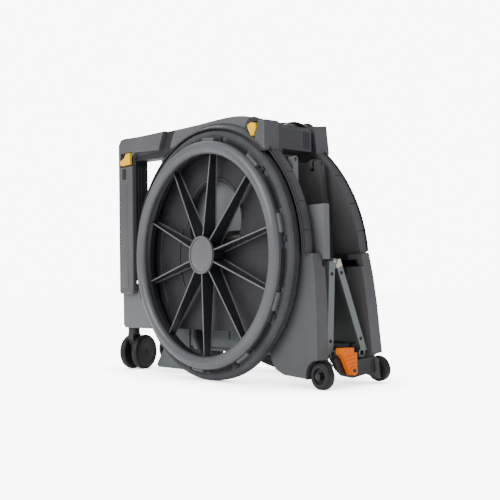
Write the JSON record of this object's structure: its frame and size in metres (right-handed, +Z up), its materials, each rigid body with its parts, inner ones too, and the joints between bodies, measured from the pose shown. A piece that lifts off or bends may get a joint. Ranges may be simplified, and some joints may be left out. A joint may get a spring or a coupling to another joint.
{
  "type": "folding self-propelled shower commode wheelchair",
  "caption": "Folding self-propelled shower and commode wheelchair, stored folded: spoked drive wheels with hand rims, swivel casters, flip-up armrests, split seat and folding deck.",
  "frame": {"origin": "centre of the folded chair's bounding box, on the floor", "axes": "+X to the chair's right, +Y forward towards the casters, +Z up"},
  "size_m": [0.322, 0.8094, 0.6376],
  "materials": {
    "frame_grey": "fine moulded texture",
    "cover_grey": "satin moulded",
    "dark_plastic": "satin moulded",
    "rim_grey": "satin moulded",
    "spoke_dark": "satin moulded",
    "tyre_rubber": "matt solid rubber",
    "caster_rubber": "matt",
    "deck_green": "painted satin",
    "seat_shell": "smooth satin",
    "bracket_cream": "satin",
    "steel": "brushed",
    "orange": "satin",
    "strap_black": "satin",
    "sling_fabric": "woven"
  },
  "bodies": {
    "frame_left": {"side_panel_left": "frame_grey", "fender_left": "frame_grey", "rear_housing_left": "frame_grey", "front_block_left": "cover_grey", "rear_block_left": "frame_grey", "arm_hinge_left": "dark_plastic", "axle_left": "steel", "transport_axle_left": "steel", "hinge_pins_left": "steel", "post_pin_left": "steel", "top_box": "frame_grey", "carry_strap": "strap_black"},
    "drive_wheel_left": {"wheel_left": "spoke_dark", "tyre_left": "tyre_rubber", "handrim_left": "rim_grey", "hub_cap_left": "rim_grey", "bearings_left": "steel"},
    "caster_left": {"caster_frame_left": "dark_plastic"},
    "caster_roller_left": {"caster_wheels_left": "caster_rubber"},
    "transport_roller_left": {"transport_wheel_left": "caster_rubber"},
    "arm_left": {"armrest_left": "dark_plastic", "arm_pad_left": "cover_grey"},
    "front_latch_left": {"front_button_left": "orange"},
    "rear_latch_left": {"rear_button_left": "orange"},
    "seat_left": {"seat_half_left": "seat_shell"},
    "foot_left": {"footplate_left": "deck_green"},
    "post_left": {"back_post_left": "dark_plastic", "back_sling": "sling_fabric"},
    "frame_right": {"side_panel_right": "frame_grey", "fender_right": "frame_grey", "rear_housing_right": "frame_grey", "front_block_right": "cover_grey", "rear_block_right": "frame_grey", "arm_hinge_right": "dark_plastic", "axle_right": "steel", "transport_axle_right": "steel", "hinge_pins_right": "steel", "post_pin_right": "steel", "pedal_mount": "dark_plastic"},
    "drive_wheel_right": {"wheel_right": "spoke_dark", "tyre_right": "tyre_rubber", "handrim_right": "rim_grey", "hub_cap_right": "rim_grey", "bearings_right": "steel"},
    "caster_right": {"caster_frame_right": "dark_plastic"},
    "caster_roller_right": {"caster_wheels_right": "caster_rubber"},
    "transport_roller_right": {"transport_wheel_right": "caster_rubber"},
    "arm_right": {"armrest_right": "dark_plastic", "arm_pad_right": "cover_grey"},
    "front_latch_right": {"front_button_right": "orange"},
    "rear_latch_right": {"rear_button_right": "orange"},
    "seat_right": {"seat_half_right": "seat_shell"},
    "foot_right": {"footplate_right": "deck_green"},
    "post_right": {"back_post_right": "dark_plastic"},
    "leaf_left": {"deck_left": "deck_green", "apex_pin": "steel"},
    "leaf_right": {"deck_right": "deck_green", "apex_bracket": "bracket_cream"},
    "pedal": {"foot_pedal": "orange"}
  },
  "joints": [
    {"name": "deck_fold", "type": "hinge", "parent": "frame_left", "child": "leaf_left", "pos_m": [-0.04799, -0.03773, 0.072], "axis": [0, 1, 0], "range_deg": [0, 86.6]},
    {"name": "apex_fold", "type": "hinge", "parent": "leaf_left", "child": "leaf_right", "pos_m": [-0.03592, -0.03773, 0.27515], "axis": [0, -1, 0], "range_deg": [0, 155.03]},
    {"name": "right_frame_fold", "type": "hinge", "parent": "leaf_right", "child": "frame_right", "pos_m": [0.04509, -0.03773, 0.07039], "axis": [0, 1, 0], "range_deg": [0, 75.42]},
    {"name": "seat_left_fold", "type": "hinge", "parent": "frame_left", "child": "seat_left", "pos_m": [-0.06999, -0.03773, 0.508], "axis": [0, -1, 0], "range_deg": [0, 90.01]},
    {"name": "foot_left_fold", "type": "hinge", "parent": "frame_left", "child": "foot_left", "pos_m": [-0.05199, -0.03773, 0.15], "axis": [0, -1, 0], "range_deg": [0, 90.01]},
    {"name": "drive_spin_left", "type": "hinge", "parent": "frame_left", "child": "drive_wheel_left", "pos_m": [-0.12199, -0.03773, 0.3], "axis": [1, 0, 0], "continuous": true},
    {"name": "caster_swivel_left", "type": "hinge", "parent": "frame_left", "child": "caster_left", "pos_m": [-0.08399, 0.35828, 0.1], "axis": [0, 0, 1], "continuous": true},
    {"name": "caster_roll_left", "type": "hinge", "parent": "caster_left", "child": "caster_roller_left", "pos_m": [-0.06678, 0.36354, 0.047], "axis": [-0.2924, 0.9563, 0], "continuous": true},
    {"name": "transport_roll_left", "type": "hinge", "parent": "frame_left", "child": "transport_roller_left", "pos_m": [-0.08999, -0.37572, 0.029], "axis": [1, 0, 0], "continuous": true},
    {"name": "arm_lift_left", "type": "hinge", "parent": "frame_left", "child": "arm_left", "pos_m": [-0.10799, -0.19573, 0.594], "axis": [1, 0, 0], "range_deg": [0, 95]},
    {"name": "front_latch_press_left", "type": "slide", "parent": "arm_left", "child": "front_latch_left", "axis": [1, 0, 0], "range_m": [0, 0.003], "stiffness_N_per_m": 400, "springref_m": -0.002},
    {"name": "rear_latch_press_left", "type": "slide", "parent": "frame_left", "child": "rear_latch_left", "axis": [1, 0, 0], "range_m": [0, 0.003], "stiffness_N_per_m": 400, "springref_m": -0.002},
    {"name": "post_raise_left", "type": "hinge", "parent": "frame_left", "child": "post_left", "pos_m": [-0.07299, -0.19773, 0.56], "axis": [1, 0, 0], "range_deg": [0, 90]},
    {"name": "seat_right_fold", "type": "hinge", "parent": "frame_right", "child": "seat_right", "pos_m": [0.01379, -0.03773, 0.50582], "axis": [0, 1, 0], "range_deg": [0, 90.01]},
    {"name": "foot_right_fold", "type": "hinge", "parent": "frame_right", "child": "foot_right", "pos_m": [0.03955, -0.03773, 0.14829], "axis": [0, 1, 0], "range_deg": [0, 90.01]},
    {"name": "drive_spin_right", "type": "hinge", "parent": "frame_right", "child": "drive_wheel_right", "pos_m": [0.09075, -0.03773, 0.30571], "axis": [-0.9925, 0, -0.1219], "continuous": true},
    {"name": "caster_swivel_right", "type": "hinge", "parent": "frame_right", "child": "caster_right", "pos_m": [0.07741, 0.35828, 0.10257], "axis": [-0.1219, 0, 0.9925], "continuous": true},
    {"name": "caster_roll_right", "type": "hinge", "parent": "caster_right", "child": "caster_roller_right", "pos_m": [0.06678, 0.36354, 0.04786], "axis": [0.2902, 0.9563, 0.0356], "continuous": true},
    {"name": "transport_roll_right", "type": "hinge", "parent": "frame_right", "child": "transport_roller_right", "pos_m": [0.09201, -0.37572, 0.03283], "axis": [-0.9925, 0, -0.1219], "continuous": true},
    {"name": "arm_lift_right", "type": "hinge", "parent": "frame_right", "child": "arm_right", "pos_m": [0.04102, -0.19573, 0.59581], "axis": [0.9925, 0, 0.1219], "range_deg": [0, 95]},
    {"name": "front_latch_press_right", "type": "slide", "parent": "arm_right", "child": "front_latch_right", "axis": [-0.9925, 0, -0.1219], "range_m": [0, 0.003], "stiffness_N_per_m": 400, "springref_m": -0.002},
    {"name": "rear_latch_press_right", "type": "slide", "parent": "frame_right", "child": "rear_latch_right", "axis": [-0.9925, 0, -0.1219], "range_m": [0, 0.003], "stiffness_N_per_m": 400, "springref_m": -0.002},
    {"name": "post_raise_right", "type": "hinge", "parent": "frame_right", "child": "post_right", "pos_m": [0.01043, -0.19773, 0.5578], "axis": [0.9925, 0, 0.1219], "range_deg": [0, 90]},
    {"name": "pedal_press", "type": "hinge", "parent": "frame_right", "child": "pedal", "pos_m": [-0.01527, -0.38972, 0.03678], "axis": [0, -1, 0], "range_deg": [0, 9], "stiffness_Nm_per_rad": 3, "springref_deg": -8.59}
  ],
  "couplings": [
    {"joint": "apex_fold", "follows": "deck_fold", "ratio": 1.79},
    {"joint": "right_frame_fold", "follows": "deck_fold", "ratio": 0.87084},
    {"joint": "seat_left_fold", "follows": "deck_fold", "ratio": 1.0393},
    {"joint": "foot_left_fold", "follows": "deck_fold", "ratio": 1.0393},
    {"joint": "seat_right_fold", "follows": "deck_fold", "ratio": 1.0393},
    {"joint": "foot_right_fold", "follows": "deck_fold", "ratio": 1.0393}
  ]
}
